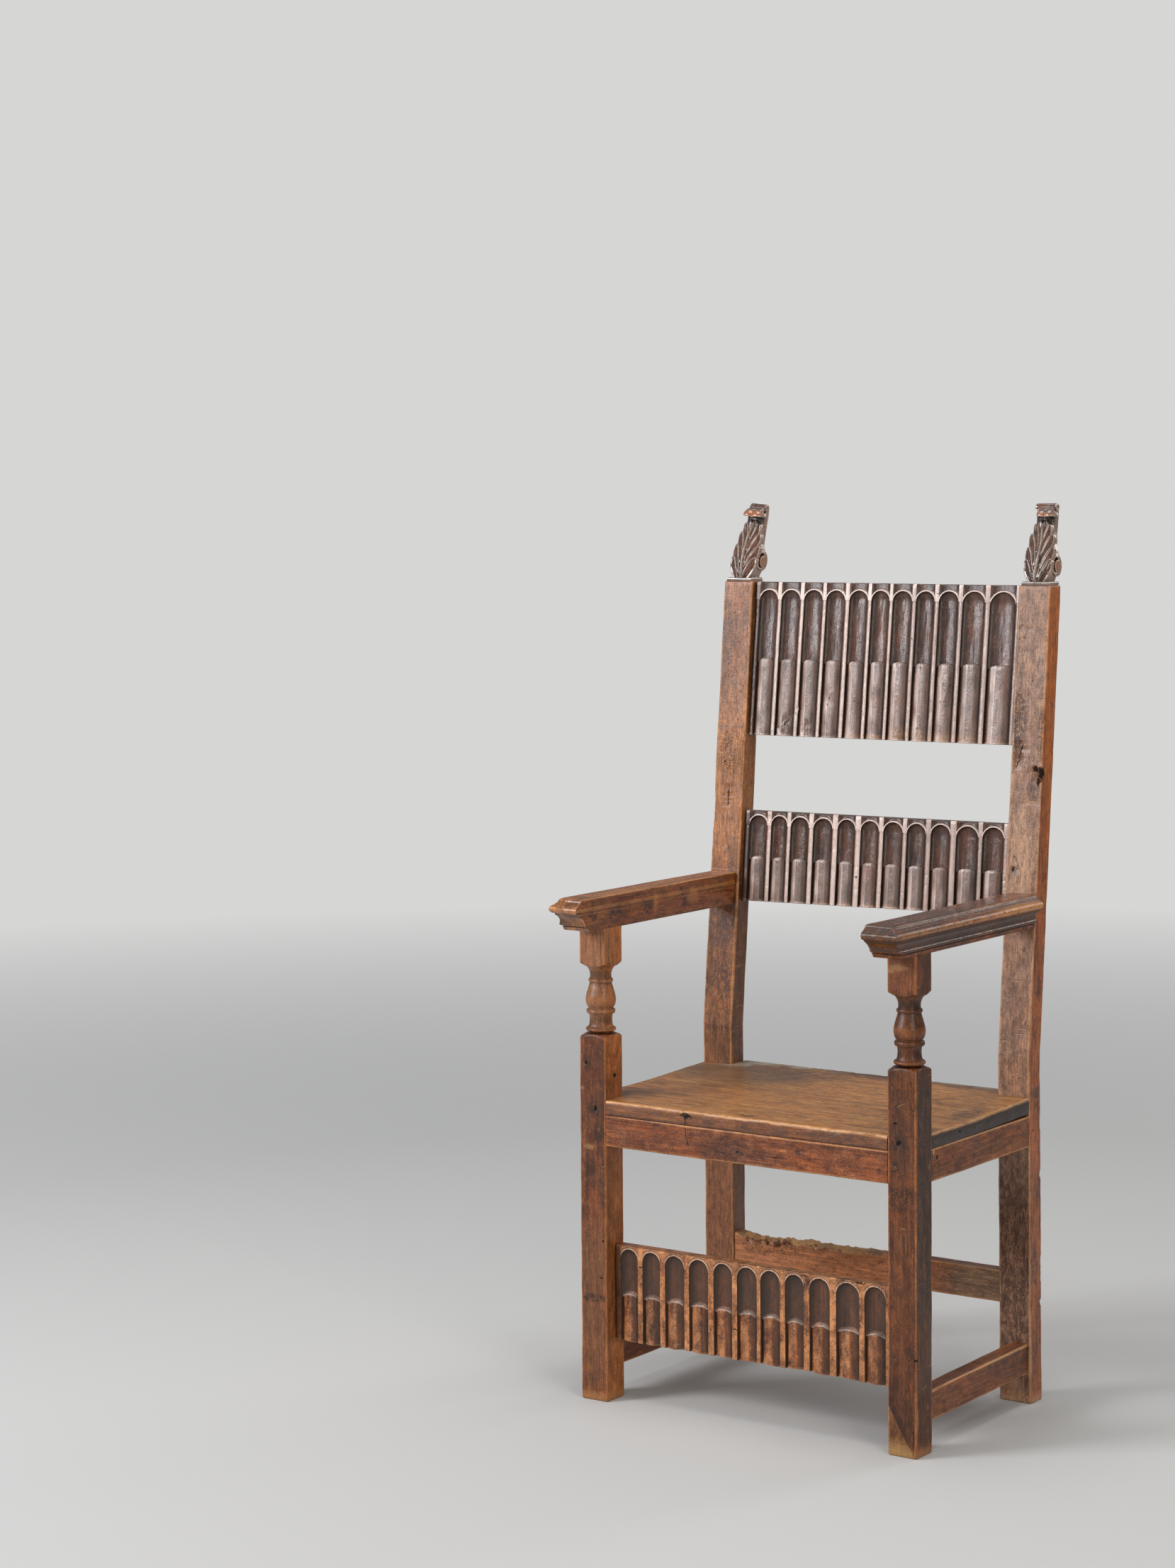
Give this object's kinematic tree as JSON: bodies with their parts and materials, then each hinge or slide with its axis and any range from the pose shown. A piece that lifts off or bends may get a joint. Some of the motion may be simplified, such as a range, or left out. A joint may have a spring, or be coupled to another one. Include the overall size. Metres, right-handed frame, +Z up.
{
  "type": "wainscot chair",
  "caption": "High-backed open armchair in pegged walnut, with fluted back panels and front stretcher, turned arm supports, moulded arms and scrolled leaf finials.",
  "frame": {"origin": "on the floor, under the middle of the chair's bounding box", "axes": "+Z up, +X to the right of a person facing the chair's front, +Y towards the back"},
  "size_m": [0.619, 0.5462, 1.3811],
  "materials": {
    "frame_walnut": "old waxed walnut, reddish brown, rubbed pale on its edges",
    "carved_walnut": "carved walnut, grey-brown in the hollows and paler on the ribs",
    "arm_walnut": "dark walnut polished by hands",
    "seat_walnut": "golden brown worn board with long grain",
    "repair_walnut": "paler let-in repair, worn to bare wood",
    "peg_wood": "dark end-grain pegs"
  },
  "bodies": {
    "root": {"front_post_left": "frame_walnut", "front_post_right": "frame_walnut", "foot_splice": "repair_walnut", "rear_post_left": "frame_walnut", "rear_post_right": "frame_walnut", "finial_left": "carved_walnut", "finial_right": "carved_walnut", "finial_dowels": "peg_wood", "arm_left": "arm_walnut", "arm_right": "arm_walnut", "crest_rail": "carved_walnut", "back_rail": "carved_walnut", "seat_board": "seat_walnut", "front_seat_rail": "frame_walnut", "rear_seat_rail": "frame_walnut", "side_seat_rail_left": "frame_walnut", "side_seat_rail_right": "frame_walnut", "front_stretcher": "carved_walnut", "rear_stretcher": "frame_walnut", "side_stretcher_left": "frame_walnut", "side_stretcher_right": "frame_walnut", "front_frame_pegs": "peg_wood", "side_frame_pegs": "peg_wood", "back_frame_pegs": "peg_wood", "arm_pegs": "peg_wood", "seat_pegs": "peg_wood"}
  },
  "joints": []
}
